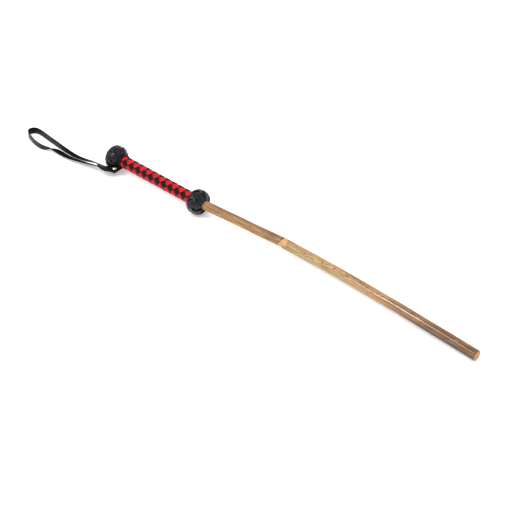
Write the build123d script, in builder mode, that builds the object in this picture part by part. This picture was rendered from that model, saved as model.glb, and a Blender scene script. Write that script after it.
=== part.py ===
"""A rattan cane with a plaited leather grip, a knotted pommel and guard, and a riveted wrist strap.

Frame: the origin is the middle of the grip, on the cane's axis.  +X runs along the grip towards the
tip, +Z is up, and the cane lies on a surface 17 mm below the grip's axis, on its two knots and its tip.
"""
from build123d import *
import os
from math import cos, pi, radians, sin, sqrt, tan

# ---- driving dimensions, mm and degrees ----
SHAFT_RADIUS = 6.4  # rattan under the grip and up to the growth node
TIP_RADIUS = 6.95  # rattan beyond the node
BUTT_X = -88.0
GUARD_X = 72.0
NODE_DISTANCE = 138.0  # guard to growth node
SHAFT_DROP = 1.3  # slope down to the surface that the tip rests on
HEADING_TO_NODE = 4.75
HEADINGS_TO_TIP = (0.7, -0.9, -2.3)
TIP_RUNS = (92.0, 92.0, 124.0)
TIP_TANGENT = 20.0  # how far each gentle bend reaches from its corner
GUARD_TANGENT = 4.0
TIP_CHAMFER = 0.8
NODE_RING = 1.6  # width of the scar ring at the growth node
NODE_RING_HEIGHT = 0.3
FIT_GAP = 0.05  # between two pieces that lie against each other

KNOT_RADIUS = 17.0
KNOT_HALF_LENGTH = 11.6
KNOT_COVER = 2.4  # thickness of the plaited cover of a knot
KNOT_END_COVER = 1.44  # and at a knot's two ends
POMMEL_X = -80.0
GUARD_HOLE = 8.0  # radius of the opening that the cane comes out of
NAIL_HOLE = 3.2  # radius of the opening behind the nail's head
SHAFT_CLEARANCE = 0.02  # radial, in the pommel's core
BEND_CLEARANCE = 1.1  # radial, in the guard's core, where the cane bends

NAIL_RADIUS = 0.8
NAIL_LENGTH = 16.0
NAIL_HEAD_RADIUS = 2.4
NAIL_HEAD = 1.0

LACE_WIDTH = 7.0
LACE_THICKNESS = 1.0
LACE_GAP = 0.1  # between two laces where they cross
LACES_EACH_COLOUR = 4
PLAIT_PITCH = 12.0  # along the grip, from one black square to the next
PLAIT_X = -56.8  # the first black square
PLAIT_ANGLE = 34.0  # degrees up from -Y to the first black square
PLAIT_START = -78.0
PLAIT_END = 66.0
LACE_END_SLANT = 2.6  # how far a lace's slanting end reaches past its middle
FLAT_STEPS = (-0.42, -0.14, 0.14, 0.42)  # sections on each crossing, in cells

WHIPPING_WIDTH = 3.0
WHIPPING_THICKNESS = 0.7
WHIPPING_INSET = 0.6  # from the ends of the plait

LEATHER = 1.3  # collar and strap leather
LAYER_PITCH = 1.4
COLLAR_START = -70.2
COLLAR_WIDTH = 6.4
COLLAR_CLEARANCE = 0.3
TAB_END_Y = -20.9
RIVET_X = -67.0
RIVET_Y = -16.8
RIVET_Z = -5.5  # middle of the four layers of leather
CAP_RADIUS = 3.2
CAP_HEIGHT = 1.5
CAP_RIM = 0.45  # straight part of a cap's height
POST_RADIUS = 1.5
POST_CLEARANCE = 0.08

STRAP_WIDTH = 10.0
# The strap's route, from its upper end over the rivet, out along the far leg, round the end of the
# loop and back along the near leg: x, y, z and the lean of its width, 0 flat and 90 on edge.
STRAP_ROUTE = [
    (-64.3, -15.8, -4.8, 0),
    (-72.5, -19.0, -4.8, 0),
    (-78.5, -22.8, -4.8, 0),
    (-86.0, -22.6, -5.2, 22),
    (-93.5, -20.5, -6.0, 36),
    (-101.0, -19.8, -7.4, 45),
    (-111.5, -21.0, -9.5, 53),
    (-124.5, -22.7, -11.2, 62),
    (-138.5, -23.8, -11.8, 76),
    (-156.0, -22.8, -11.9, 86),
    (-174.0, -20.9, -11.9, 90),
    (-191.5, -18.9, -11.9, 90),
    (-207.0, -16.9, -11.9, 90),
    (-218.5, -15.8, -11.9, 90),
    (-225.0, -17.2, -11.9, 90),
    (-228.9, -22.0, -11.9, 90),
    (-228.7, -27.6, -11.9, 90),
    (-223.0, -31.8, -11.9, 90),
    (-212.7, -35.7, -11.9, 92),
    (-201.6, -38.5, -11.9, 94),
    (-191.0, -39.3, -12.0, 98),
    (-184.0, -37.4, -12.4, 112),
    (-178.8, -33.2, -12.7, 134),
    (-172.5, -29.6, -14.3, 158),
    (-162.0, -29.1, -15.2, 166),
    (-150.9, -29.4, -15.0, 160),
    (-136.5, -28.5, -14.3, 152),
    (-123.5, -26.4, -13.0, 148),
    (-109.4, -24.4, -11.6, 146),
    (-98.5, -22.7, -10.1, 144),
    (-91.0, -21.9, -8.7, 143),
    (-85.5, -22.9, -7.5, 152),
    (-78.5, -22.8, -6.2, 180),
    (-72.5, -19.0, -6.2, 180),
    (-64.3, -15.8, -6.2, 180),
]
STRAP_STEP = 4.0  # distance between two sections of the strap
STRAP_BEND = 0.45  # share of each run that a bend of the route takes

os.makedirs("parts", exist_ok=True)


def heading(angle):
    """Unit vector of the shaft at a compass angle, sloping down to the surface."""
    flat = cos(radians(SHAFT_DROP))
    return Vector(flat * cos(radians(angle)), flat * sin(radians(angle)), -sin(radians(SHAFT_DROP)))


# ---- rattan shaft ----
guard_point = Vector(GUARD_X, 0, 0)
node_point = guard_point + heading(HEADING_TO_NODE) * NODE_DISTANCE
tip_points = [node_point]
for run, angle in zip(TIP_RUNS, HEADINGS_TO_TIP):
    tip_points.append(tip_points[-1] + heading(angle) * run)
tip_turns = [HEADINGS_TO_TIP[0] - HEADINGS_TO_TIP[1], HEADINGS_TO_TIP[1] - HEADINGS_TO_TIP[2]]
GUARD_TURN = heading(HEADING_TO_NODE).get_angle(Vector(1, 0, 0))

with BuildLine() as upper_line:
    FilletPolyline(
        (BUTT_X, 0, 0), guard_point, node_point, radius=GUARD_TANGENT / tan(radians(GUARD_TURN / 2))
    )
with BuildLine() as lower_line:
    FilletPolyline(*tip_points, radius=[TIP_TANGENT / tan(radians(turn / 2)) for turn in tip_turns])

with BuildPart() as rattan_shaft:
    with BuildSketch(Plane.YZ.offset(BUTT_X)):
        Circle(SHAFT_RADIUS)
    sweep(path=upper_line.wire())
    with BuildSketch(Plane(origin=node_point, z_dir=heading(HEADINGS_TO_TIP[0]))):
        Circle(TIP_RADIUS)
    sweep(path=lower_line.wire())
    with BuildSketch(Plane(origin=node_point, z_dir=heading(HEADINGS_TO_TIP[0])).offset(-NODE_RING / 2)):
        Circle(TIP_RADIUS + NODE_RING_HEIGHT)
    extrude(amount=NODE_RING)
    chamfer(faces().sort_by(Axis.X)[-1].edges(), TIP_CHAMFER)
    with BuildSketch(Plane.YZ.offset(BUTT_X)):
        Circle(NAIL_RADIUS)
    extrude(amount=NAIL_LENGTH, mode=Mode.SUBTRACT)
rattan_shaft.part.label = "rattan_shaft"
export_step(rattan_shaft.part, "parts/rattan_shaft.step")
TIP_WALL = TIP_RUNS[-1] - TIP_TANGENT - TIP_CHAMFER
print("shaft volume", rattan_shaft.part.volume, "tip", tip_points[-1], "tip wall", TIP_WALL)
print("tip direction", heading(HEADINGS_TO_TIP[-1]))

# ---- plaited grip: eight flat laces, four of each colour, over one and under one ----
WEAVE_LIFT = (LACE_THICKNESS + LACE_GAP) / 2
WEAVE_RADIUS = SHAFT_RADIUS + LACE_THICKNESS / 2 + WEAVE_LIFT + FIT_GAP
LACE_SAG = (LACE_WIDTH / 2) ** 2 / (4 * WEAVE_RADIUS)


def lace_section(black, number, crossing, step):
    """Plane across a lace: its x runs over the width and its y points away from the cane."""
    along = crossing + step
    if black:
        turn, travel = (number + along) / 2, (number - along) / 2
    else:
        turn, travel = (along + number) / 2, (along - number) / 2
    angle = radians(PLAIT_ANGLE + 90 * turn)
    over = (crossing + number) % 2 == (0 if black else 1)
    radius = WEAVE_RADIUS + (WEAVE_LIFT if over else -WEAVE_LIFT)
    outward = Vector(0, -cos(angle), sin(angle))
    round_cane = Vector(0, sin(angle), cos(angle)) * (WEAVE_RADIUS * pi / LACES_EACH_COLOUR)
    forward = Vector(PLAIT_PITCH / 2, 0, 0)
    across = round_cane + forward if black else round_cane - forward
    place = outward * radius + Vector(PLAIT_X + PLAIT_PITCH * travel, 0, 0)
    return Plane(origin=place, x_dir=across, z_dir=across.cross(outward))


def plait_lace(black, number):
    """One lace, wound from inside the pommel to inside the guard."""
    ends = sorted(
        (number - 2 * (x - PLAIT_X) / PLAIT_PITCH) if black else (number + 2 * (x - PLAIT_X) / PLAIT_PITCH)
        for x in (PLAIT_START, PLAIT_END)
    )
    half = LACE_WIDTH / 2
    with BuildPart() as lace:
        for crossing in range(int(ends[0]) - 1, int(ends[1]) + 2):
            for step in FLAT_STEPS:
                if ends[0] <= crossing + step <= ends[1]:
                    with BuildSketch(lace_section(black, number, crossing, step)):
                        with BuildLine():
                            top = LACE_THICKNESS / 2
                            ThreePointArc((-half, top - LACE_SAG), (0, top), (half, top - LACE_SAG))
                            Line((half, top - LACE_SAG), (half, -top - LACE_SAG))
                            ThreePointArc((half, -top - LACE_SAG), (0, -top), (-half, -top - LACE_SAG))
                            Line((-half, -top - LACE_SAG), (-half, top - LACE_SAG))
                        make_face()
        loft(ruled=True)
    return lace


for colour in ("black", "red"):
    for number in range(LACES_EACH_COLOUR):
        lace = plait_lace(colour == "black", number)
        lace.part.label = f"{colour}_lace_{number + 1}"
        export_step(lace.part, f"parts/{lace.part.label}.step")

# ---- thread whippings that bind the lace ends on the cane, hidden inside the knots ----
LACE_OUTSIDE = WEAVE_RADIUS + WEAVE_LIFT + LACE_THICKNESS / 2
WHIPPING_INSIDE = LACE_OUTSIDE + FIT_GAP
WHIPPING_OUTSIDE = WHIPPING_INSIDE + WHIPPING_THICKNESS

whipping_starts = (PLAIT_START + WHIPPING_INSET, PLAIT_END - WHIPPING_INSET - WHIPPING_WIDTH)

for label, start in zip(("rear_whipping", "front_whipping"), whipping_starts):
    with BuildPart() as whipping:
        with BuildSketch(Plane.YZ.offset(start)):
            Circle(WHIPPING_OUTSIDE)
            Circle(WHIPPING_INSIDE, mode=Mode.SUBTRACT)
        extrude(amount=WHIPPING_WIDTH)
    whipping.part.label = label
    export_step(whipping.part, f"parts/{label}.step")


# ---- Turk's-head knots on their cores ----
CORE_RADIUS = KNOT_RADIUS - KNOT_COVER - FIT_GAP
CORE_HALF_LENGTH = KNOT_HALF_LENGTH - KNOT_END_COVER - FIT_GAP


def knot_cover(middle, rear_hole, front_hole):
    """The plaited leather cover, as one closed shell of the knot's outline."""
    with BuildPart() as cover:
        with BuildSketch(Plane.XZ):
            with Locations((middle, 0)):
                Ellipse(KNOT_HALF_LENGTH, KNOT_RADIUS)
                Ellipse(CORE_HALF_LENGTH + FIT_GAP, CORE_RADIUS + FIT_GAP, mode=Mode.SUBTRACT)
            with Locations((middle, -KNOT_RADIUS)):
                Rectangle(4 * KNOT_RADIUS, 2 * KNOT_RADIUS, mode=Mode.SUBTRACT)
            with Locations((middle - KNOT_HALF_LENGTH, 0)):
                Rectangle(KNOT_HALF_LENGTH, 2 * rear_hole, mode=Mode.SUBTRACT)
            with Locations((middle + KNOT_HALF_LENGTH, 0)):
                Rectangle(KNOT_HALF_LENGTH, 2 * front_hole, mode=Mode.SUBTRACT)
        revolve(axis=Axis.X)
    return cover


def knot_core(middle, bores):
    """Turned wooden core; each bore is a start and end along the grip and a radius."""
    with BuildPart() as core:
        with BuildSketch(Plane.XZ):
            with Locations((middle, 0)):
                Ellipse(CORE_HALF_LENGTH, CORE_RADIUS)
            with Locations((middle, -KNOT_RADIUS)):
                Rectangle(4 * KNOT_RADIUS, 2 * KNOT_RADIUS, mode=Mode.SUBTRACT)
            for start, end, radius in bores:
                with Locations(((start + end) / 2, 0)):
                    Rectangle(end - start, 2 * radius, mode=Mode.SUBTRACT)
        revolve(axis=Axis.X)
    return core


RELIEF_RADIUS = WHIPPING_OUTSIDE + LACE_GAP
SHAFT_BORE = SHAFT_RADIUS + SHAFT_CLEARANCE
BEND_BORE = SHAFT_RADIUS + BEND_CLEARANCE

pommel_knot = knot_cover(POMMEL_X, NAIL_HOLE, RELIEF_RADIUS)
pommel_knot.part.label = "pommel_knot"
export_step(pommel_knot.part, "parts/pommel_knot.step")

guard_knot = knot_cover(GUARD_X, RELIEF_RADIUS, GUARD_HOLE)
guard_knot.part.label = "guard_knot"
export_step(guard_knot.part, "parts/guard_knot.step")

pommel_core = knot_core(
    POMMEL_X,
    [
        (POMMEL_X - KNOT_HALF_LENGTH, POMMEL_X, NAIL_RADIUS),
        (BUTT_X, POMMEL_X + KNOT_HALF_LENGTH, SHAFT_BORE),
        (PLAIT_START - LACE_END_SLANT, POMMEL_X + KNOT_HALF_LENGTH, RELIEF_RADIUS),
    ],
)
pommel_core.part.label = "pommel_core"
export_step(pommel_core.part, "parts/pommel_core.step")

guard_core = knot_core(
    GUARD_X,
    [
        (GUARD_X - KNOT_HALF_LENGTH, GUARD_X + KNOT_HALF_LENGTH, BEND_BORE),
        (GUARD_X - KNOT_HALF_LENGTH, PLAIT_END + LACE_END_SLANT, RELIEF_RADIUS),
    ],
)
guard_core.part.label = "guard_core"
export_step(guard_core.part, "parts/guard_core.step")

# ---- nail that holds the pommel's core on the end of the cane ----
CORE_END_X = POMMEL_X - CORE_HALF_LENGTH
with BuildPart() as pommel_nail:
    with BuildSketch(Plane.YZ.offset(CORE_END_X - NAIL_HEAD)):
        Circle(NAIL_HEAD_RADIUS)
    extrude(amount=NAIL_HEAD)
    with BuildSketch(Plane.YZ.offset(CORE_END_X)):
        Circle(NAIL_RADIUS)
    extrude(amount=BUTT_X + NAIL_LENGTH - CORE_END_X)
pommel_nail.part.label = "pommel_nail"
export_step(pommel_nail.part, "parts/pommel_nail.step")

# ---- collar: a leather band round the neck of the grip, its two ends laid out as a tab ----
COLLAR_INSIDE = LACE_OUTSIDE + COLLAR_CLEARANCE
COLLAR_OUTSIDE = COLLAR_INSIDE + LEATHER
TAB_ROOT_Y = -(COLLAR_INSIDE + LEATHER / 2)
TAB_LAYERS = (RIVET_Z + 1.5 * LAYER_PITCH, RIVET_Z - 1.5 * LAYER_PITCH)
STACK_TOP = TAB_LAYERS[0] + LEATHER / 2
STACK_BOTTOM = TAB_LAYERS[1] - LEATHER / 2

with BuildPart() as collar_band:
    with BuildSketch(Plane.YZ.offset(COLLAR_START)):
        Circle(COLLAR_OUTSIDE)
        for height in TAB_LAYERS:
            with Locations((TAB_END_Y / 2, height)):
                Rectangle(-TAB_END_Y, LEATHER)
        Circle(COLLAR_INSIDE, mode=Mode.SUBTRACT)
    extrude(amount=COLLAR_WIDTH)
    with BuildSketch(Plane.XY.offset(STACK_BOTTOM)):
        with Locations((RIVET_X, RIVET_Y)):
            Circle(POST_RADIUS)
    extrude(amount=STACK_TOP - STACK_BOTTOM, mode=Mode.SUBTRACT)
collar_band.part.label = "collar_band"
export_step(collar_band.part, "parts/collar_band.step")


# ---- double-cap rivet ----
rivet_axis = Axis((RIVET_X, RIVET_Y, 0), (0, 0, 1))


def rivet_dome(base, height):
    """A shallow domed cap, flat against the leather; a negative height points down."""
    rim = base + height * CAP_RIM / CAP_HEIGHT
    rise = base + height - rim
    sphere = (CAP_RADIUS**2 + rise**2) / (2 * rise)
    halfway = base + height - sphere + sqrt(sphere**2 - CAP_RADIUS**2 / 4) * (1 if rise > 0 else -1)
    with BuildPart() as dome:
        with BuildSketch(Plane(origin=(RIVET_X, RIVET_Y, 0), x_dir=(1, 0, 0), z_dir=(0, -1, 0))):
            with BuildLine():
                Line((0, base + height), (0, base))
                Line((0, base), (CAP_RADIUS, base))
                Line((CAP_RADIUS, base), (CAP_RADIUS, rim))
                ThreePointArc((CAP_RADIUS, rim), (CAP_RADIUS / 2, halfway), (0, base + height))
            make_face()
        revolve(axis=rivet_axis)
    return dome


rivet_cap = rivet_dome(STACK_TOP, CAP_HEIGHT)
rivet_cap.part.label = "rivet_cap"
export_step(rivet_cap.part, "parts/rivet_cap.step")

rivet_foot = rivet_dome(STACK_BOTTOM, -CAP_HEIGHT)
with BuildPart() as rivet_post:
    add(rivet_foot.part)
    with BuildSketch(Plane.XY.offset(STACK_BOTTOM)):
        with Locations((RIVET_X, RIVET_Y)):
            Circle(POST_RADIUS)
    extrude(amount=STACK_TOP - STACK_BOTTOM)
rivet_post.part.label = "rivet_post"
export_step(rivet_post.part, "parts/rivet_post.step")

# ---- wrist strap: one flat strip, both ends on the rivet ----
route = [Vector(*place[:3]) for place in STRAP_ROUTE]
runs = [(b - a).length for a, b in zip(route, route[1:])]
turns = [(b - a).get_angle(c - b) for a, b, c in zip(route, route[1:], route[2:])]
strap_radii = [
    STRAP_BEND * min(before, after) / tan(radians(turn / 2)) for before, after, turn in zip(runs, runs[1:], turns)
]
with BuildLine() as strap_line:
    FilletPolyline(*route, radius=strap_radii)
strap_path = strap_line.wire()
print("strap bends", [round(radius) for radius in strap_radii], "length", strap_path.length)


def strap_lean(fraction):
    """Lean of the strap's width part of the way along its route, in degrees."""
    travel = fraction * sum(runs)
    for run, before, after in zip(runs, STRAP_ROUTE, STRAP_ROUTE[1:]):
        if travel <= run:
            return before[3] + (after[3] - before[3]) * travel / run
        travel -= run
    return STRAP_ROUTE[-1][3]


def strap_section(fraction):
    """Plane across the strap: its x runs over the width."""
    forward = strap_path.tangent_at(fraction)
    level = Vector(0, 0, 1).cross(forward).normalized()
    lean = radians(strap_lean(fraction))
    across = level * cos(lean) + forward.cross(level) * sin(lean)
    return Plane(origin=strap_path.position_at(fraction), x_dir=across, z_dir=forward)


strap_sections = round(strap_path.length / STRAP_STEP)
with BuildPart() as wrist_strap:
    for number in range(strap_sections + 1):
        with BuildSketch(strap_section(number / strap_sections)):
            Rectangle(STRAP_WIDTH, LEATHER)
    loft(ruled=True)
    with BuildSketch(Plane.XY.offset(STACK_BOTTOM)):
        with Locations((RIVET_X, RIVET_Y)):
            Circle(POST_RADIUS + POST_CLEARANCE)
    extrude(amount=STACK_TOP - STACK_BOTTOM, mode=Mode.SUBTRACT)
wrist_strap.part.label = "wrist_strap"
export_step(wrist_strap.part, "parts/wrist_strap.step")
print("strap volume", wrist_strap.part.volume, "section times length", STRAP_WIDTH * LEATHER * strap_path.length)
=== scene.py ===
"""A rattan cane: two-colour plaited leather grip, Turk's-head knots, riveted wrist strap.

The frame is the CAD model's: metres, +X along the grip towards the tip, +Z up, origin in the grip.
"""
from math import cos, exp, pi, radians, sin, sqrt, tanh

import bmesh
import bpy
from mathutils import Matrix, Vector


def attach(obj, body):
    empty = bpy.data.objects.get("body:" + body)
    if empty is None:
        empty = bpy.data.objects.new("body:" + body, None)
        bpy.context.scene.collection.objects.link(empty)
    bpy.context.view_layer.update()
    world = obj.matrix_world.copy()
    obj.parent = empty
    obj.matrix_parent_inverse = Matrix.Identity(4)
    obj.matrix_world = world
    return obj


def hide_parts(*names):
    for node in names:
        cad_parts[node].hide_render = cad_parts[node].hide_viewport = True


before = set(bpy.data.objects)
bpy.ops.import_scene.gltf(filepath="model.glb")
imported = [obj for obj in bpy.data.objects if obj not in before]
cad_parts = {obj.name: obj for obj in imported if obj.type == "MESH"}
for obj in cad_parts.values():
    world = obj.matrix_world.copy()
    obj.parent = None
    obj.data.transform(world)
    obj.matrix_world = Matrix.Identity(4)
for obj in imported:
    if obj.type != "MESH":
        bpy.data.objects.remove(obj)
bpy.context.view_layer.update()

MM = 0.001

# ---- sizes of the object, mm and degrees, as the CAD has them ----
SHAFT_RADIUS = 6.4
TIP_RADIUS = 6.95
BUTT_X = -88.0
GUARD_X = 72.0
POMMEL_X = -80.0
NODE_DISTANCE = 138.0
SHAFT_DROP = 1.3
HEADING_TO_NODE = 4.75
HEADINGS_TO_TIP = (0.7, -0.9, -2.3)
TIP_RUNS = (92.0, 92.0, 124.0)
TIP_CHAMFER = 0.8

KNOT_RADIUS = 17.0
KNOT_HALF_LENGTH = 11.6

LACES_EACH_COLOUR = 4
PLAIT_PITCH = 12.0
PLAIT_X = -56.8
PLAIT_ANGLE = 34.0
PLAIT_START = -77.5
PLAIT_END = 65.5
WEAVE_RADIUS = 7.5
WEAVE_LIFT = 0.55
LACE_THICKNESS = 1.0

LEATHER = 1.3
LAYER_PITCH = 1.4
COLLAR_START = -70.2
COLLAR_WIDTH = 6.4
COLLAR_RADIUS = 9.55
TAB_END_Y = -20.9
RIVET = (-67.0, -16.8, -5.5)
CAP_RADIUS = 3.2
CAP_HEIGHT = 1.5

STRAP_WIDTH = 10.0
# The strap's route over the rivet, out, round the loop's end and back: x, y, z, and the lean of its
# width, 0 flat and 90 on edge.
STRAP_ROUTE = [
    (-64.3, -15.8, -4.8, 0),
    (-72.5, -19.0, -4.8, 0),
    (-78.5, -22.8, -4.8, 0),
    (-86.0, -22.6, -5.2, 22),
    (-93.5, -20.5, -6.0, 36),
    (-101.0, -19.8, -7.4, 45),
    (-111.5, -21.0, -9.5, 53),
    (-124.5, -22.7, -11.2, 62),
    (-138.5, -23.8, -11.8, 76),
    (-156.0, -22.8, -11.9, 86),
    (-174.0, -20.9, -11.9, 90),
    (-191.5, -18.9, -11.9, 90),
    (-207.0, -16.9, -11.9, 90),
    (-218.5, -15.8, -11.9, 90),
    (-225.0, -17.2, -11.9, 90),
    (-228.9, -22.0, -11.9, 90),
    (-228.7, -27.6, -11.9, 90),
    (-223.0, -31.8, -11.9, 90),
    (-212.7, -35.7, -11.9, 92),
    (-201.6, -38.5, -11.9, 94),
    (-191.0, -39.3, -12.0, 98),
    (-184.0, -37.4, -12.4, 112),
    (-178.8, -33.2, -12.7, 134),
    (-172.5, -29.6, -14.3, 158),
    (-162.0, -29.1, -15.2, 166),
    (-150.9, -29.4, -15.0, 160),
    (-136.5, -28.5, -14.3, 152),
    (-123.5, -26.4, -13.0, 148),
    (-109.4, -24.4, -11.6, 146),
    (-98.5, -22.7, -10.1, 144),
    (-91.0, -21.9, -8.7, 143),
    (-85.5, -22.9, -7.5, 152),
    (-78.5, -22.8, -6.2, 180),
    (-72.5, -19.0, -6.2, 180),
    (-64.3, -15.8, -6.2, 180),
]
FLOOR_Z = -17.3


# ---- small tools ----
def linear(hex_colour):
    """An sRGB hex colour as linear red, green, blue and alpha."""
    channels = [int(hex_colour[i : i + 2], 16) / 255 for i in (1, 3, 5)]
    return [c / 12.92 if c <= 0.04045 else ((c + 0.055) / 1.055) ** 2.4 for c in channels] + [1]


def add_node(tree, kind, inputs=None, **settings):
    """A new node with its settings; an input is a value, or a socket that it is linked from."""
    new = tree.nodes.new(kind)
    for name, value in settings.items():
        setattr(new, name, value)
    for name, value in (inputs or {}).items():
        if isinstance(value, bpy.types.NodeSocket):
            tree.links.new(value, new.inputs[name])
        else:
            new.inputs[name].default_value = value
    return new


def rounded(points, reach):
    """A polyline with each inner corner replaced by a smooth bend that reaches that far each way."""
    path = [points[0]]
    for before, corner, after in zip(points, points[1:], points[2:]):
        near = corner + (before - corner).normalized() * reach
        far = corner + (after - corner).normalized() * reach
        for i in range(9):
            t = i / 8
            path.append(near * (1 - t) ** 2 + corner * 2 * t * (1 - t) + far * t**2)
    return path + [points[-1]]


def resampled(points, step):
    """Points a constant distance apart along a polyline, both ends kept."""
    lengths = [0.0]
    for a, b in zip(points, points[1:]):
        lengths.append(lengths[-1] + (b - a).length)
    count = max(2, round(lengths[-1] / step))
    path, k = [], 0
    for i in range(count + 1):
        travel = lengths[-1] * i / count
        while k < len(points) - 2 and lengths[k + 1] < travel:
            k += 1
        run = max(lengths[k + 1] - lengths[k], 1e-9)
        path.append(points[k].lerp(points[k + 1], min(1, (travel - lengths[k]) / run)))
    return path


def new_piece(name, mesh, finish):
    """An object for a finished mesh, shaded smooth, at the origin."""
    piece = bpy.data.objects.new(name, mesh)
    bpy.context.scene.collection.objects.link(piece)
    if not mesh.materials:
        mesh.materials.append(finish)
    mesh.shade_smooth()
    return piece


def mount(piece, body, slot, *nodes):
    """The piece rides on its body in place of the CAD nodes; slot is not used."""
    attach(piece, body)
    if nodes:
        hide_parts(*nodes)
    return piece


# ---- camera: short telephoto, looking down across the handle ----
CAMERA_AZIMUTH = 40.68
CAMERA_ELEVATION = 40.07
CAMERA_PLACE = (1212.9, -1200.9, 1290.5)
CAMERA_LENS = 109.3


def make_camera():
    a, e = radians(CAMERA_AZIMUTH), radians(CAMERA_ELEVATION)
    back = Vector((sin(a) * cos(e), -cos(a) * cos(e), sin(e)))
    right = Vector((cos(a), sin(a), 0))
    camera = bpy.data.objects.new("camera", bpy.data.cameras.new("camera"))
    camera.data.lens = CAMERA_LENS
    camera.data.clip_start, camera.data.clip_end = 0.05, 20
    turn = Matrix((right, back.cross(right), back)).transposed()
    camera.matrix_world = Matrix.Translation(Vector(CAMERA_PLACE) * MM) @ turn.to_4x4()
    bpy.context.scene.collection.objects.link(camera)
    bpy.context.scene.camera = camera


make_camera()


# ---- leather, rattan, nickel and the hidden materials ----
FLECK_LENGTH = 3.4
FLECK_WIDTH = 1.5
THREAD_PITCH = 0.8


def new_material(name):
    material = bpy.data.materials.new(name)
    material.use_nodes = True
    tree = material.node_tree
    tree.nodes.clear()
    shader = add_node(tree, "ShaderNodeBsdfPrincipled")
    add_node(tree, "ShaderNodeOutputMaterial", {"Surface": shader.outputs["BSDF"]})
    return material, tree, shader


def dyed_leather(name, skin, shade, edge, roughness, grain, specular, crease, sheen="#ffffff"):
    """Drum-dyed cowhide cut into lace: a smooth printed grain, faint creases, and edges darkened both as
    the raw cut edge and as painted shade where laces meet.

    skin, shade and edge are its colours and sheen that of its shine; grain is the size in mm of one
    pebble and crease its relief in mm.
    """
    material, tree, shader = new_material(name)
    place = add_node(tree, "ShaderNodeTexCoord").outputs["Object"]
    pebbles = add_node(
        tree,
        "ShaderNodeTexVoronoi",
        {"Vector": place, "Scale": 1 / (grain * MM)},
        feature="DISTANCE_TO_EDGE",
    )
    cloudy = add_node(
        tree, "ShaderNodeTexNoise", {"Vector": place, "Scale": 1 / (4 * MM), "Detail": 4, "Roughness": 0.6}
    )
    folds = add_node(
        tree,
        "ShaderNodeTexNoise",
        {"Vector": place, "Scale": 1 / (1.6 * MM), "Detail": 6, "Distortion": 0.8},
    )
    across = add_node(tree, "ShaderNodeAttribute", attribute_name="across")
    side = add_node(tree, "ShaderNodeMath", {0: across.outputs["Fac"]}, operation="ABSOLUTE")
    # painted shade: towards its sides the lace darkens to the edge colour, for its raw cut edge and for the
    # shade where laces meet
    rim = add_node(
        tree,
        "ShaderNodeMapRange",
        {"Value": side.outputs[0], "From Min": 0.84, "From Max": 1.0},
        interpolation_type="SMOOTHSTEP",
    )
    mottle = add_node(
        tree, "ShaderNodeMapRange", {"Value": cloudy.outputs["Fac"], "From Min": 0.35, "From Max": 0.7}
    )
    colour = add_node(
        tree,
        "ShaderNodeMix",
        {"Factor": mottle.outputs[0], "A": linear(skin), "B": linear(shade)},
        data_type="RGBA",
    )
    raw_edge_and_shade = add_node(
        tree,
        "ShaderNodeMix",
        {"Factor": rim.outputs[0], "A": colour.outputs["Result"], "B": linear(edge)},
        data_type="RGBA",
    )
    gloss = add_node(
        tree,
        "ShaderNodeMapRange",
        {
            "Value": folds.outputs["Fac"],
            "From Min": 0.3,
            "From Max": 0.7,
            "To Min": roughness - 0.06,
            "To Max": roughness + 0.1,
        },
    )
    groove = add_node(
        tree,
        "ShaderNodeMapRange",
        {"Value": pebbles.outputs["Distance"], "From Min": 0.0, "From Max": 0.18},
    )
    fine = add_node(
        tree,
        "ShaderNodeBump",
        {"Height": groove.outputs[0], "Distance": crease * 0.5 * MM, "Strength": 0.5},
    )
    bump = add_node(
        tree,
        "ShaderNodeBump",
        {
            "Height": folds.outputs["Fac"],
            "Distance": crease * 3 * MM,
            "Normal": fine.outputs[0],
            "Strength": 0.7,
        },
    )
    tree.links.new(raw_edge_and_shade.outputs["Result"], shader.inputs["Base Color"])
    tree.links.new(gloss.outputs[0], shader.inputs["Roughness"])
    tree.links.new(bump.outputs[0], shader.inputs["Normal"])
    shader.inputs["Specular IOR Level"].default_value = specular
    shader.inputs["Specular Tint"].default_value = linear(sheen)
    return material


black_lace_leather = dyed_leather(
    "black_lace_leather", "#0e0e10", "#141417", "#060607", 0.45, 0.5, 0.12, 0.06, sheen="#e6e8f6"
)
red_lace_leather = dyed_leather("red_lace_leather", "#b9151b", "#aa1218", "#4c070a", 0.46, 0.5, 0.14, 0.05)
black_knot_leather = dyed_leather(
    "black_knot_leather", "#070708", "#0d0d0f", "#030304", 0.22, 0.6, 0.38, 0.09, sheen="#dfe3f8"
)
black_strap_leather = dyed_leather(
    "black_strap_leather", "#0c0c0e", "#121214", "#080809", 0.38, 0.7, 0.12, 0.08, sheen="#e2e5f6"
)


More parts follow.
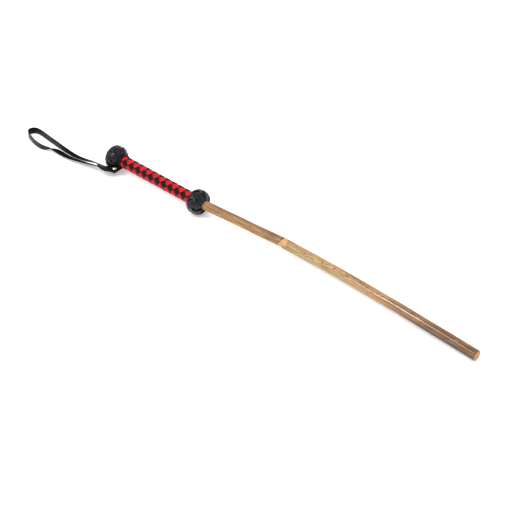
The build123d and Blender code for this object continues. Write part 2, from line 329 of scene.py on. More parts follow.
def rattan_skin():
    """Natural rattan with its hard glossy skin: long fibre streaks, flecks and a scarred growth node."""
    material, tree, shader = new_material("natural_rattan_skin")
    place = add_node(tree, "ShaderNodeTexCoord").outputs["Object"]
    facing = add_node(tree, "ShaderNodeNewGeometry").outputs["Normal"]
    values = {}
    for name in ("along", "scar", "patch"):
        values[name] = add_node(tree, "ShaderNodeAttribute", attribute_name=name).outputs["Fac"]

    # Noise drawn out along the cane: its features' length and width in mm, its detail and roughness.
    for name, length, width, detail, roughness in (
        ("fibres", 30, 1.3, 6, 0.7),
        ("grooves", 60, 1.8, 4, 0.6),
        ("blotches", 26, 5.0, 4, 0.6),
        ("worn", 3.0, 1.2, 3, 0.7),
        ("fine", 24, 0.5, 4, 0.6),
    ):
        scale = (1 / (length * MM), 1 / (width * MM), 1 / (width * MM))
        drawn = add_node(tree, "ShaderNodeMapping", {"Vector": place, "Scale": scale})
        noise = {"Vector": drawn.outputs[0], "Scale": 1.0, "Detail": detail, "Roughness": roughness}
        values[name] = add_node(tree, "ShaderNodeTexNoise", noise).outputs["Fac"]
    scale = (1 / (FLECK_LENGTH * MM), 1 / (FLECK_WIDTH * MM), 1 / (FLECK_WIDTH * MM))
    drawn = add_node(tree, "ShaderNodeMapping", {"Vector": place, "Scale": scale})
    flecks = add_node(tree, "ShaderNodeTexVoronoi", {"Vector": drawn.outputs[0], "Scale": 1.0})
    values["fleck_number"] = flecks.outputs["Color"]

    # Two uneven edges: where a side of the cane ends, and the outline of a fleck.
    for name, source, reach in (("wander", "blotches", 0.16), ("ragged", "worn", 0.25)):
        limits = {
            "Value": values[source],
            "From Min": 0.3,
            "From Max": 0.7,
            "To Min": -reach,
            "To Max": reach,
        }
        values[name] = add_node(tree, "ShaderNodeMapRange", limits).outputs[0]
    outline = {0: flecks.outputs["Distance"], 1: values["ragged"]}
    values["fleck_outline"] = add_node(tree, "ShaderNodeMath", outline, operation="ADD").outputs[0]
    for name, direction in (
        ("underside", (0, -0.8, -0.6)),
        ("top", (0, 0.3, 0.95)),
        ("upper", (0, -0.45, 0.89)),
    ):
        turned_to = add_node(
            tree, "ShaderNodeVectorMath", {0: facing, 1: direction}, operation="DOT_PRODUCT"
        )
        edge = {0: turned_to.outputs["Value"], 1: values["wander"]}
        values[name] = add_node(tree, "ShaderNodeMath", edge, operation="ADD").outputs[0]

    # Each range goes from its first result to its second as its source goes from low to high.
    for name, source, low, high, first, second in (
        ("past_node", "along", 0.325, 0.345, 0, 1),
        ("green_side", "underside", 0.05, 0.4, 0, 1),
        ("green_length", "along", 0.42, 0.62, 0.9, 0.1),
        ("fibre_streaks", "fibres", 0.5, 0.62, 0, 0.6),
        ("groove_streaks", "grooves", 0.55, 0.6, 0, 0.6),
        ("pale_blotches", "blotches", 0.5, 0.7, 0, 0.35),
        ("top_side", "top", 0.6, 0.85, 0, 1),
        ("before_node", "along", 0.3, 0.325, 1, 0),
        ("top_streaks", "fibres", 0.38, 0.6, 0.1, 0.65),
        ("dark_blotches", "blotches", 0.47, 0.37, 0, 1),
        ("dark_length", "along", 0.62, 0.95, 0, 0.75),
        ("fleck_side", "upper", 0.88, 0.98, 0, 1),
        ("fleck_start", "along", 0.35, 0.36, 0, 1),
        ("fleck_spots", "fleck_outline", 0.46, 0.32, 0, 1),
        ("fleck_share", "fleck_number", 0.42, 0.46, 0, 0.9),
        # painted shade: the cane's lower side, facing down and towards the camera, darkens near the tip
        ("painted_shade_side", "underside", 0.55, 0.85, 0, 1),
        ("painted_shade_length", "along", 0.66, 0.82, 0, 0.95),
        ("worn_gloss", "worn", 0.3, 0.7, 0, 0.07),
        ("skin_gloss", "along", 0.5, 0.75, 0.42, 0.04),
        ("shine", "along", 0.5, 0.75, 0.3, 0.45),
    ):
        limits = {
            "Value": values[source],
            "From Min": low,
            "From Max": high,
            "To Min": first,
            "To Max": second,
        }
        values[name] = add_node(tree, "ShaderNodeMapRange", limits).outputs[0]

    zones = add_node(tree, "ShaderNodeValToRGB", {"Fac": values["along"]})
    zones.color_ramp.elements[0].color = linear("#98754a")
    zones.color_ramp.elements[1].color = linear("#6b492d")
    for position, shade in (
        (0.12, "#98734a"),
        (0.28, "#8f6b44"),
        (0.35, "#a18158"),
        (0.5, "#b38d61"),
        (0.68, "#a27b53"),
        (0.82, "#7b5838"),
    ):
        zones.color_ramp.elements.new(position).color = linear(shade)

    # Each layer's tint shows as much as the product of its ranges, from the skin's zones outwards.
    colour = zones.outputs["Color"]
    for tint, *shares in (
        ("#a29669", "green_side", "past_node", "green_length"),
        ("#6b4427", "fibre_streaks"),
        ("#573620", "groove_streaks"),
        ("#bf9868", "pale_blotches"),
        ("#583b25", "top_side", "before_node", "top_streaks"),
        ("#4a2c1c", "dark_blotches", "dark_length"),
        ("#482314", "fleck_spots", "fleck_share", "fleck_side", "fleck_start"),
        # painted shade: dark brown along the cane's lower side near the tip
        ("#2f180d", "painted_shade_side", "painted_shade_length"),
        ("#c99f62", "patch"),
        ("#1c0e08", "scar"),
    ):
        amount = values[shares[0]]
        for share in shares[1:]:
            pair = {0: amount, 1: values[share]}
            amount = add_node(tree, "ShaderNodeMath", pair, operation="MULTIPLY").outputs[0]
        layer = {"Factor": amount, "A": colour, "B": linear(tint)}
        colour = add_node(tree, "ShaderNodeMix", layer, data_type="RGBA").outputs["Result"]

    bump = add_node(
        tree, "ShaderNodeBump", {"Height": values["fine"], "Distance": 0.1 * MM, "Strength": 0.25}
    )
    gloss = add_node(
        tree, "ShaderNodeMath", {0: values["worn_gloss"], 1: values["skin_gloss"]}, operation="ADD"
    )
    tree.links.new(colour, shader.inputs["Base Color"])
    tree.links.new(gloss.outputs[0], shader.inputs["Roughness"])
    tree.links.new(bump.outputs[0], shader.inputs["Normal"])
    tree.links.new(values["shine"], shader.inputs["Specular IOR Level"])
    return material


def cut_rattan():
    """The sawn end of the cane: pale fibre with the dark pores of rattan's vessels, 0.4 mm apart."""
    material, tree, shader = new_material("sawn_rattan_end")
    place = add_node(tree, "ShaderNodeTexCoord").outputs["Object"]
    vessels = add_node(tree, "ShaderNodeTexVoronoi", {"Vector": place, "Scale": 1 / (0.8 * MM)})
    pores = add_node(
        tree,
        "ShaderNodeMapRange",
        {"Value": vessels.outputs["Distance"], "From Min": 0.18, "From Max": 0.34},
    )
    wood = add_node(
        tree,
        "ShaderNodeMix",
        {"Factor": pores.outputs[0], "A": linear("#6b4526"), "B": linear("#bc8a58")},
        data_type="RGBA",
    )
    bump = add_node(
        tree, "ShaderNodeBump", {"Height": pores.outputs[0], "Distance": 0.15 * MM, "Strength": 0.6}
    )
    tree.links.new(wood.outputs["Result"], shader.inputs["Base Color"])
    tree.links.new(bump.outputs[0], shader.inputs["Normal"])
    shader.inputs["Roughness"].default_value = 0.7
    return material


def plated_nickel():
    """Bright nickel plate on a pressed cap: a soft mirror with fine handling scratches."""
    material, tree, shader = new_material("polished_nickel_plate")
    place = add_node(tree, "ShaderNodeTexCoord").outputs["Object"]
    brushed = add_node(tree, "ShaderNodeMapping", {"Vector": place})
    brushed.inputs["Scale"].default_value = (1 / (3 * MM), 1 / (0.15 * MM), 1 / (0.15 * MM))
    scratches = add_node(
        tree, "ShaderNodeTexNoise", {"Vector": brushed.outputs[0], "Scale": 1.0, "Detail": 3}
    )
    gloss = add_node(
        tree,
        "ShaderNodeMapRange",
        {
            "Value": scratches.outputs["Fac"],
            "From Min": 0.3,
            "From Max": 0.7,
            "To Min": 0.12,
            "To Max": 0.26,
        },
    )
    bump = add_node(
        tree, "ShaderNodeBump", {"Height": scratches.outputs["Fac"], "Distance": 0.01 * MM, "Strength": 0.3}
    )
    tree.links.new(gloss.outputs[0], shader.inputs["Roughness"])
    tree.links.new(bump.outputs[0], shader.inputs["Normal"])
    shader.inputs["Base Color"].default_value = linear("#cfcac2")
    shader.inputs["Metallic"].default_value = 1.0
    return material


def shade_black_core():
    """Turned beech under the knots, coloured near black as painted shade where it shows between the laces.
    """
    material, tree, shader = new_material("black_beech_core_painted_shade")
    place = add_node(tree, "ShaderNodeTexCoord").outputs["Object"]
    grain = add_node(
        tree, "ShaderNodeTexNoise", {"Vector": place, "Scale": 1 / (2 * MM), "Detail": 4, "Roughness": 0.6}
    )
    # painted shade: the core's near-black tone stands in for the shade in the gaps between the knot's laces
    core_shade_tone = add_node(
        tree,
        "ShaderNodeMix",
        {"Factor": grain.outputs["Fac"], "A": linear("#0c0c0d"), "B": linear("#1a1716")},
        data_type="RGBA",
    )
    tree.links.new(core_shade_tone.outputs["Result"], shader.inputs["Base Color"])
    shader.inputs["Roughness"].default_value = 0.6
    return material


def waxed_thread():
    """Black waxed linen thread, wound close: one turn every 0.8 mm along the cane."""
    material, tree, shader = new_material("waxed_linen_thread")
    place = add_node(tree, "ShaderNodeTexCoord").outputs["Object"]
    turns = add_node(
        tree,
        "ShaderNodeTexWave",
        {"Vector": place, "Scale": 2 * pi / (20 * THREAD_PITCH * MM), "Distortion": 0.5},
    )
    thread = add_node(
        tree,
        "ShaderNodeMix",
        {"Factor": turns.outputs["Fac"], "A": linear("#0d0d0e"), "B": linear("#1b1b1c")},
        data_type="RGBA",
    )
    bump = add_node(
        tree, "ShaderNodeBump", {"Height": turns.outputs["Fac"], "Distance": 0.3 * MM, "Strength": 0.6}
    )
    tree.links.new(thread.outputs["Result"], shader.inputs["Base Color"])
    tree.links.new(bump.outputs[0], shader.inputs["Normal"])
    shader.inputs["Roughness"].default_value = 0.75
    return material


natural_rattan = rattan_skin()
sawn_rattan = cut_rattan()
nickel = plated_nickel()


# ---- flat leather swept along a path ----
def flat_leather_tree():
    """Sweeps a flat strip's section along a path whose points carry the direction they face."""
    tree = bpy.data.node_groups.new("flat_leather", "GeometryNodeTree")
    tree.interface.new_socket("Path", in_out="INPUT", socket_type="NodeSocketGeometry")
    for name in ("Width", "Thickness", "Edge Radius", "Crown"):
        tree.interface.new_socket(name, in_out="INPUT", socket_type="NodeSocketFloat")
    tree.interface.new_socket("Leather", in_out="INPUT", socket_type="NodeSocketMaterial")
    tree.interface.new_socket("Strip", in_out="OUTPUT", socket_type="NodeSocketGeometry")
    given = add_node(tree, "NodeGroupInput").outputs

    section = add_node(
        tree,
        "GeometryNodeCurvePrimitiveQuadrilateral",
        {"Width": given["Thickness"], "Height": given["Width"]},
    )
    section = add_node(
        tree,
        "GeometryNodeFilletCurve",
        {"Curve": section.outputs[0], "Count": 3, "Radius": given["Edge Radius"], "Limit Radius": True},
        mode="POLY",
    )
    section = add_node(tree, "GeometryNodeSubdivideCurve", {"Curve": section.outputs[0], "Cuts": 2})
    place = add_node(
        tree, "ShaderNodeSeparateXYZ", {0: add_node(tree, "GeometryNodeInputPosition").outputs[0]}
    )
    square = add_node(
        tree, "ShaderNodeMath", {0: place.outputs["Y"], 1: place.outputs["Y"]}, operation="MULTIPLY"
    )
    sag = add_node(tree, "ShaderNodeMath", {0: square.outputs[0], 1: given["Crown"]}, operation="MULTIPLY")
    sag = add_node(tree, "ShaderNodeMath", {0: sag.outputs[0], 1: -1.0}, operation="MULTIPLY")
    shift = add_node(tree, "ShaderNodeCombineXYZ", {"X": sag.outputs[0]})
    half = add_node(tree, "ShaderNodeMath", {0: given["Width"], 1: 0.5}, operation="MULTIPLY")
    across = add_node(
        tree, "ShaderNodeMath", {0: place.outputs["Y"], 1: half.outputs[0]}, operation="DIVIDE"
    )
    section = add_node(
        tree,
        "GeometryNodeStoreNamedAttribute",
        {"Geometry": section.outputs[0], "Name": "across", "Value": across.outputs[0]},
        data_type="FLOAT",
        domain="POINT",
    )
    section = add_node(
        tree, "GeometryNodeSetPosition", {"Geometry": section.outputs[0], "Offset": shift.outputs[0]}
    )

    line = add_node(tree, "GeometryNodeMeshToCurve", {0: given["Path"]})
    facing = add_node(
        tree, "GeometryNodeInputNamedAttribute", {"Name": "outward"}, data_type="FLOAT_VECTOR"
    )
    line = add_node(
        tree,
        "GeometryNodeSetCurveNormal",
        {"Curve": line.outputs[0], "Normal": facing.outputs[0]},
        mode="FREE",
    )
    strip = add_node(
        tree,
        "GeometryNodeCurveToMesh",
        {"Curve": line.outputs[0], "Profile Curve": section.outputs[0], "Fill Caps": True},
    )
    strip = add_node(
        tree, "GeometryNodeSetMaterial", {"Geometry": strip.outputs[0], "Material": given["Leather"]}
    )
    strip = add_node(tree, "GeometryNodeRealizeInstances", {"Geometry": strip.outputs[0]})
    add_node(tree, "NodeGroupOutput", {"Strip": strip.outputs[0]})
    return tree


flat_leather = flat_leather_tree()


def leather_strip(name, points, outward, closed, leather, **sizes):
    """One strip of leather along points in mm, each facing its outward direction; sizes in mm."""
    mesh = bpy.data.meshes.new(name)
    count = len(points)
    edges = [(i, (i + 1) % count) for i in range(count if closed else count - 1)]
    mesh.from_pydata([p * MM for p in points], edges, [])
    facing = mesh.attributes.new("outward", "FLOAT_VECTOR", "POINT")
    facing.data.foreach_set("vector", [c for direction in outward for c in direction.normalized()])
    source = bpy.data.objects.new(name + "_path", mesh)
    bpy.context.scene.collection.objects.link(source)
    modifier = source.modifiers.new("flat_leather", "NODES")
    modifier.node_group = flat_leather
    values = {"Leather": leather}
    for size, value in sizes.items():
        label = size.replace("_", " ").title()
        values[label] = value / MM if label == "Crown" else value * MM
    for item in flat_leather.interface.items_tree:
        if item.in_out == "INPUT" and item.name in values:
            modifier[item.identifier] = values[item.name]
    bpy.context.view_layer.update()
    graph = bpy.context.evaluated_depsgraph_get()
    plain = bpy.data.meshes.new_from_object(source.evaluated_get(graph))
    plain.name = name
    bpy.data.objects.remove(source)
    tidy = bmesh.new()
    tidy.from_mesh(plain)
    bmesh.ops.recalc_face_normals(tidy, faces=tidy.faces)
    tidy.to_mesh(plain)
    tidy.free()
    return new_piece(name, plain, leather)


# ---- wrist strap: a ribbon on its route's NURBS line ----
STRAP_STEP = 1.2


def route_line(route):
    """The smooth line of a route as points in mm."""
    curve = bpy.data.curves.new("route", "CURVE")
    curve.dimensions = "3D"
    spline = curve.splines.new("NURBS")
    spline.points.add(len(route) - 1)
    for point, place in zip(spline.points, route):
        point.co = (*place, 1)
    spline.order_u = 3
    spline.use_endpoint_u = True
    curve.resolution_u = 16
    source = bpy.data.objects.new("route", curve)
    bpy.context.scene.collection.objects.link(source)
    graph = bpy.context.evaluated_depsgraph_get()
    line = bpy.data.meshes.new_from_object(source.evaluated_get(graph))
    points = [v.co.copy() for v in line.vertices]
    bpy.data.objects.remove(source)
    return points


def strap_frames():
    """Even points of the strap's line and the direction that its face has at each."""
    # A second line through the leans follows the same parameter as the route's own line.
    line = route_line([place[:3] for place in STRAP_ROUTE])
    leans = route_line([(place[3], 0, 0) for place in STRAP_ROUTE])
    points, outward = [], []
    for i, point in enumerate(line):
        before, after = line[max(i - 1, 0)], line[min(i + 1, len(line) - 1)]
        if points and (point - points[-1]).length < STRAP_STEP:
            continue
        forward = (after - before).normalized()
        level = Vector((0, 0, 1)).cross(forward).normalized()
        lean = radians(leans[i].x)
        width = level * cos(lean) + forward.cross(level) * sin(lean)
        points.append(point)
        outward.append(width.cross(forward))
    return points, outward


strap_points, strap_outward = strap_frames()
wrist_strap = leather_strip(
    "strap_ribbon",
    strap_points,
    strap_outward,
    False,
    black_strap_leather,
    width=STRAP_WIDTH,
    thickness=LEATHER,
    edge_radius=0.35,
    crown=0.0,
)
mount(wrist_strap, "wrist_strap", "black_strap_leather", "wrist_strap")


# ---- plaited grip ----
BLACK_LACE_WIDTH = 7.5
RED_LACE_WIDTH = 8.2
PLAIT_STEPS = 14  # points on each crossing
WEAVE_SHARPNESS = 2.0  # more makes a lace flatter where it lies and steeper where it dives


def plait_lace(black, number):
    """One lace, over one and under one, from inside the pommel to inside the guard."""
    sign = -1 if black else 1
    ends = sorted(number + sign * 2 * (x - PLAIT_X) / PLAIT_PITCH for x in (PLAIT_START, PLAIT_END))
    count = round((ends[1] - ends[0]) * PLAIT_STEPS)
    points, outward = [], []
    for i in range(count + 1):
        crossing = ends[0] + (ends[1] - ends[0]) * i / count
        turn = (number + crossing) / 2
        travel = (number - crossing) / 2 if black else (crossing - number) / 2
        wave = tanh(WEAVE_SHARPNESS * cos(pi * (crossing - number))) / tanh(WEAVE_SHARPNESS)
        radius = WEAVE_RADIUS + (WEAVE_LIFT if black else -WEAVE_LIFT) * wave
        angle = radians(PLAIT_ANGLE + 90 * turn)
        away = Vector((0, -cos(angle), sin(angle)))
        points.append(away * radius + Vector((PLAIT_X + PLAIT_PITCH * travel, 0, 0)))
        outward.append(away)
    return points, outward


def make_plait():
    crown = 1 / (4 * WEAVE_RADIUS)  # a lace at 45 degrees round the cane bends half as much as it
    for number in range(LACES_EACH_COLOUR):
        for colour, width, leather in (
            ("black", BLACK_LACE_WIDTH, black_lace_leather),
            ("red", RED_LACE_WIDTH, red_lace_leather),
        ):
            points, outward = plait_lace(colour == "black", number)
            node = f"{colour}_lace_{number + 1}"
            lace = leather_strip(
                "plaited_" + node,
                points,
                outward,
                False,
                leather,
                width=width,
                thickness=LACE_THICKNESS,
                edge_radius=0.3,
                crown=crown,
            )
            mount(lace, "cane", f"{colour}_lace_leather", node)


make_plait()


# ---- Turk's-head knots ----
KNOT_LEADS = 3
KNOT_BIGHTS = 7
KNOT_LACE_WIDTH = 9.2
KNOT_LACE_THICKNESS = 1.4
KNOT_FULLNESS = 2.6  # 2 is an ellipse, more is squarer
KNOT_STEPS = 26  # points on each bend
LIFT_SHARE = 0.45  # of the lift, that the lace's level lies below the outline
DIVE_SOFTNESS = 0.12
KNOTS = {
    "pommel": {
        "middle": POMMEL_X + 0.4,
        "half_length": KNOT_HALF_LENGTH + 0.2,
        "lift": 0.6,
        "rear_turn": 57,
        "front_turn": 40,
        "phase": 0.3,
    },
    "guard": {
        "middle": GUARD_X + 0.6,
        "half_length": KNOT_HALF_LENGTH + 1.0,
        "lift": 0.9,
        "rear_turn": 41,
        "front_turn": 45,
        "phase": 0.9,
    },
}


def knot_lace(middle, half_length, lift, rear_turn, front_turn, phase):
    """A single endless lace woven over and under itself round a knot's full, barrel-like outline.

    rear_turn and front_turn are how far round towards each end, in degrees, its bends turn back.
    """
    level_radius = KNOT_RADIUS - KNOT_LACE_THICKNESS / 2 - LIFT_SHARE * lift
    level_half = half_length - KNOT_LACE_THICKNESS / 2 - LIFT_SHARE * lift
    count = KNOT_LEADS * KNOT_BIGHTS * KNOT_STEPS
    points, outward = [], []
    for i in range(count):
        t = 2 * pi * i / count
        swing, angle = KNOT_BIGHTS * t, KNOT_LEADS * t + phase
        side = cos(swing)
        tilt = radians(side * (front_turn if side > 0 else rear_turn))
        weave = sin((KNOT_LEADS - 1) * swing)
        rise = lift * weave / sqrt(weave**2 + DIVE_SOFTNESS)
        away = Vector((0, -cos(angle), sin(angle)))
        along_share = abs(sin(tilt) / level_half) ** KNOT_FULLNESS
        away_share = abs(cos(tilt) / level_radius) ** KNOT_FULLNESS
        reach = (along_share + away_share) ** (-1 / KNOT_FULLNESS)
        surface = Vector((1, 0, 0)) * (reach * sin(tilt)) + away * (reach * cos(tilt))
        slope_along = along_share / sin(tilt) if abs(sin(tilt)) > 1e-6 else 0
        facing = Vector((1, 0, 0)) * slope_along + away * (away_share / cos(tilt))
        facing.normalize()
        points.append(surface + facing * rise + Vector((middle, 0, 0)))
        outward.append(facing)
    return points, outward


def make_knots():
    crown = 1 / (2.6 * KNOT_RADIUS)  # a lace at a slant on the knot bends a little less than it
    for place, shape in KNOTS.items():
        points, outward = knot_lace(**shape)
        knot = leather_strip(
            place + "_turks_head",
            points,
            outward,
            True,
            black_knot_leather,
            width=KNOT_LACE_WIDTH,
            thickness=KNOT_LACE_THICKNESS,
            edge_radius=0.5,
            crown=crown,
        )
        mount(knot, "cane", "black_knot_leather", place + "_knot")


make_knots()


# ---- collar round the neck, its ends laid together as the rivet's tab ----
COLLAR_ARC = range(184, -129, -12)  # degrees round the neck, from one leaf of the tab to the other
TAB_BEND = 0.9
COLLAR_STEP = 0.5


def make_collar():
    upper = RIVET[2] + 1.5 * LAYER_PITCH
    lower = RIVET[2] - 1.5 * LAYER_PITCH
    middle = COLLAR_START + COLLAR_WIDTH / 2
    root = -(COLLAR_RADIUS + 0.4)
    corners = [Vector((middle, TAB_END_Y, upper)), Vector((middle, root, upper))]
    for degree in COLLAR_ARC:
        a = radians(degree)
        corners.append(Vector((middle, COLLAR_RADIUS * cos(a), COLLAR_RADIUS * sin(a))))
    corners.append(Vector((middle, TAB_END_Y, lower)))
    points = resampled(rounded(corners, TAB_BEND), COLLAR_STEP)
    outward = []
    for i, point in enumerate(points):
        forward = points[min(i + 1, len(points) - 1)] - points[max(i - 1, 0)]
        outward.append(Vector((1, 0, 0)).cross(forward))
    collar = leather_strip(
        "collar_strip",
        points,
        outward,
        False,
        black_strap_leather,
        width=COLLAR_WIDTH,
        thickness=LEATHER,
        edge_radius=0.35,
        crown=0.0,
    )
    mount(collar, "collar", "black_strap_leather", "collar_band")


make_collar()


# ---- rivet ----
CAP_SHOULDER = 0.3  # height of the cap's side below its dome
DOME_SHARE = 0.86  # of the cap's radius
DOME_END = 30  # degrees up the dome at which the rim's flare has gone


def turned(name, outline, finish, centre, steps=48):
    """A closed turned piece about a vertical axis, from its outline as (radius, height) in mm."""
    shape = bmesh.new()
    rings = []
    for radius, height in outline:
        if radius == 0:
            rings.append([shape.verts.new(Vector((centre[0], centre[1], height)) * MM)])
            continue
        ring = []
        for i in range(steps):
            a = 2 * pi * i / steps
            place = Vector((centre[0] + radius * cos(a), centre[1] + radius * sin(a), height))
            ring.append(shape.verts.new(place * MM))
        rings.append(ring)
    for a, b in zip(rings, rings[1:]):
        for i in range(steps):
            j = (i + 1) % steps
            corners = [a[i % len(a)], a[j % len(a)], b[j % len(b)], b[i % len(b)]]
            shape.faces.new(list(dict.fromkeys(corners)))
    bmesh.ops.recalc_face_normals(shape, faces=shape.faces)
    mesh = bpy.data.meshes.new(name)
    shape.to_mesh(mesh)
    shape.free()
    return new_piece(name, mesh, finish)


def make_rivet():
    stack = 1.5 * LAYER_PITCH + LEATHER / 2
    for name, side, node in (
        ("rivet_cap_pressed", 1, "rivet_cap"),
        ("rivet_post_pressed", -1, "rivet_post"),
    ):
        base = RIVET[2] + side * stack
        outline = [(0, base), (CAP_RADIUS * 0.9, base), (CAP_RADIUS, base + side * 0.2)]
        for degree in range(0, 91, 10):
            a = radians(degree)
            flare = (1 - DOME_SHARE) * max(0, 1 - degree / DOME_END)
            radius = CAP_RADIUS * (DOME_SHARE * cos(a) ** 0.8 + flare)
            outline.append((radius, base + side * (CAP_SHOULDER + (CAP_HEIGHT - CAP_SHOULDER) * sin(a))))
        outline[-1] = (0, base + side * CAP_HEIGHT)
        cap = turned(name, outline, nickel, RIVET)
        mount(cap, "collar", "nickel_rivet", node)


make_rivet()


# ---- rattan shaft ----
SHAFT_SIDES = 72
SHAFT_STEP = 1.5
NODE_STEP = 0.37  # between the extra stations at the growth node
BEND_REACH = 4.0
NODE_SLANT = 2.6  # how far the node's ring leans to and fro along the cane
NODE_SLANT_TURN = 0.75  # radians round the cane to where it leans farthest
RIDGE_HEIGHT = 0.34
RIDGE_WIDTH = 0.7
SCAR_BACK = 1.5  # from the ring back to the leaf scar
SCAR_DEPTH = 0.2
SCAR_WIDTH = 1.3
BUD_HEIGHT = 0.5
PATCH_LENGTH = 8.0


def heading(angle):
    flat = cos(radians(SHAFT_DROP))
    return Vector((flat * cos(radians(angle)), flat * sin(radians(angle)), -sin(radians(SHAFT_DROP))))


def shaft_line():
    """The cane's centre line from butt to tip, and the distance along it of the guard."""
    corners = [Vector((BUTT_X, 0, 0)), Vector((GUARD_X, 0, 0))]
    corners.append(corners[-1] + heading(HEADING_TO_NODE) * NODE_DISTANCE)
    for run, angle in zip(TIP_RUNS, HEADINGS_TO_TIP):
        corners.append(corners[-1] + heading(angle) * run)
    return resampled(rounded(corners, BEND_REACH), SHAFT_STEP)


def bell(value, centre, width):
    return exp(-(((value - centre) / width) ** 2))


def step_up(value, edge, softness):
    """0 before an edge and 1 past it."""
    return 0.5 + 0.5 * tanh((value - edge) / softness)


def unevenness(at, turn):
    """The cane's natural unevenness in mm, as three slow waves along and round it."""
    return 0.06 * sin(at / 23 + 2 * turn) + 0.05 * sin(at / 11 - turn + 1) + 0.04 * sin(3 * turn + at / 61)


def make_shaft():
    """The cane as a closed skin with a raised slanting ring and a bud scar at its growth node."""
    line = shaft_line()
    step = (line[1] - line[0]).length
    total = step * (len(line) - 1)
    guard_at = GUARD_X - BUTT_X
    node_at = guard_at + NODE_DISTANCE
    stations = [(i * step, point) for i, point in enumerate(line)]
    # Extra stations crowd round the node and the chamfered tip.
    for k in range(-20, 41):
        at = node_at + k * NODE_STEP
        before = int(at / step)
        stations.append((at, line[before].lerp(line[before + 1], at / step - before)))
    stations = sorted((s for s in stations if s[0] < total - TIP_CHAMFER - 0.1), key=lambda s: s[0])
    end = line[-1]
    direction = (line[-1] - line[-2]).normalized()
    for k in range(5):
        a = k / 4 * pi / 2
        back = TIP_CHAMFER * (1 - sin(a))
        stations.append((total - back, end - direction * back))
    shape = bmesh.new()
    along_layer = shape.verts.layers.float.new("along")
    scar_layer = shape.verts.layers.float.new("scar")
    patch_layer = shape.verts.layers.float.new("patch")
    rings = []
    for k, (at, point) in enumerate(stations):
        ahead = stations[min(k + 1, len(stations) - 1)][1] - stations[max(k - 1, 0)][1]
        forward = direction if total - at < 6 else ahead.normalized()
        side = Vector((0, 0, 1)).cross(forward).normalized()
        over = forward.cross(side)
        ring = []
        for i in range(SHAFT_SIDES):
            a = 2 * pi * i / SHAFT_SIDES
            grown = step_up(at, node_at + 1.5, 2.4)
            radius = SHAFT_RADIUS + (TIP_RADIUS - SHAFT_RADIUS) * grown
            radius += unevenness(at, a)
            slant = node_at + NODE_SLANT * cos(a - NODE_SLANT_TURN)
            ridge = bell(at, slant, RIDGE_WIDTH)
            groove = bell(at, slant - SCAR_BACK, SCAR_WIDTH)
            crack = bell(at, node_at + 1.0 + 2.8 * (a - 2.0), 0.5) * (2.1 < a < 4.0)
            turn = (a - 2.9 + pi) % (2 * pi) - pi
            bud = bell(at, node_at + 3.2, 2.0) * bell(turn, 0, 0.35)
            upper = bell(a, 1.2, 0.85)
            radius += RIDGE_HEIGHT * ridge - SCAR_DEPTH * groove + BUD_HEIGHT * bud
            left = total - at
            if left < TIP_CHAMFER:
                radius -= TIP_CHAMFER - sqrt(max(0, TIP_CHAMFER**2 - (TIP_CHAMFER - left) ** 2))
            vert = shape.verts.new((point + side * (radius * cos(a)) + over * (radius * sin(a))) * MM)
            vert[along_layer] = max(0, min(1, (at - guard_at) / (total - guard_at)))
            ragged = slant + PATCH_LENGTH + 2.2 * sin(3 * a + 0.4) + 1.1 * sin(8 * a)
            vert[scar_layer] = min(1, (0.2 + 1.1 * upper) * groove + 0.45 * crack)
            vert[patch_layer] = 0.72 * step_up(at, slant - 0.6, 0.6) * (1 - step_up(at, ragged, 0.9))
            ring.append(vert)
        rings.append(ring)
    for a, b in zip(rings, rings[1:]):
        for i in range(SHAFT_SIDES):
            j = (i + 1) % SHAFT_SIDES
            shape.faces.new((a[i], a[j], b[j], b[i]))
    caps = [shape.faces.new(rings[0]), shape.faces.new(rings[-1])]
    for cap in caps:
        cap.material_index = 1
    bmesh.ops.recalc_face_normals(shape, faces=shape.faces)
    mesh = bpy.data.meshes.new("rattan_cane")
    shape.to_mesh(mesh)
    shape.free()
    mesh.materials.append(natural_rattan)
    mesh.materials.append(sawn_rattan)
    cane = new_piece("rattan_cane", mesh, natural_rattan)
    mesh.set_sharp_from_angle(angle=radians(50))
    mount(cane, "cane", "rattan", "rattan_shaft")


make_shaft()

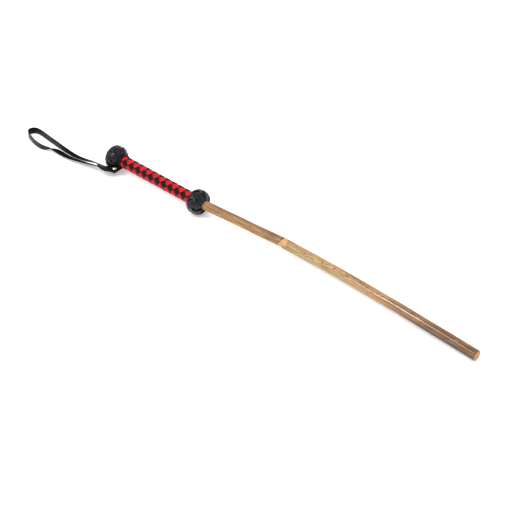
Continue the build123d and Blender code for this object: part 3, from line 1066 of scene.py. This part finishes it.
# ---- hidden pieces that the CAD has in their final shape ----
HIDDEN = {
    "pommel_core": shade_black_core(),
    "rear_whipping": waxed_thread(),
    "pommel_nail": nickel,
}
HIDDEN["guard_core"] = HIDDEN["pommel_core"]
HIDDEN["front_whipping"] = HIDDEN["rear_whipping"]
for node, finish in HIDDEN.items():
    for material_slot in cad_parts[node].material_slots:
        material_slot.material = finish


# ---- floor, sky and lights ----
FLOOR_HALF = 6.0  # metres
FLOOR_GAP = 0.1  # mm below the leather


def make_floor():
    mesh = bpy.data.meshes.new("floor")
    z = (FLOOR_Z - FLOOR_GAP) * MM
    corners = [(x * FLOOR_HALF, y * FLOOR_HALF, z) for x, y in ((-1, -1), (1, -1), (1, 1), (-1, 1))]
    mesh.from_pydata(corners, [], [(0, 1, 2, 3)])
    material, tree, shader = new_material("white_paper_sweep")
    shader.inputs["Base Color"].default_value = linear("#f7f7f7")
    shader.inputs["Roughness"].default_value = 0.9
    shader.inputs["Specular IOR Level"].default_value = 0.1
    shader.inputs["Emission Color"].default_value = (1, 1, 1, 1)
    shader.inputs["Emission Strength"].default_value = 0.26
    floor = new_piece("floor", mesh, material)


def soft_light(name, place, size, power, shines=True, mirrored=True):
    """A round light, in metres and watts: whether it lights matt surfaces, and whether gloss shows it."""
    light = bpy.data.lights.new(name, "AREA")
    light.shape = "DISK"
    light.size = size
    light.energy = power
    lamp = bpy.data.objects.new(name, light)
    lamp.location = place
    lamp.rotation_mode = "QUATERNION"
    lamp.rotation_quaternion = Vector(place).to_track_quat("Z", "Y")
    lamp.visible_diffuse = shines
    lamp.visible_glossy = mirrored
    bpy.context.scene.collection.objects.link(lamp)


def make_studio():
    world = bpy.data.worlds.new("studio")
    world.use_nodes = True
    world.node_tree.nodes["Background"].inputs["Color"].default_value = (1, 1, 1, 1)
    world.node_tree.nodes["Background"].inputs["Strength"].default_value = 0.9
    bpy.context.scene.world = world
    bpy.context.scene.view_settings.view_transform = "Standard"
    soft_light("overhead", (0.2, 0.1, 1.6), 1.2, 14, mirrored=False)
    soft_light("window", (-0.4, -0.75, 1.2), 0.4, 9)
    soft_light("strip_box", (-0.16, -0.75, 1.2), 0.34, 2.6, shines=False)


make_floor()
make_studio()
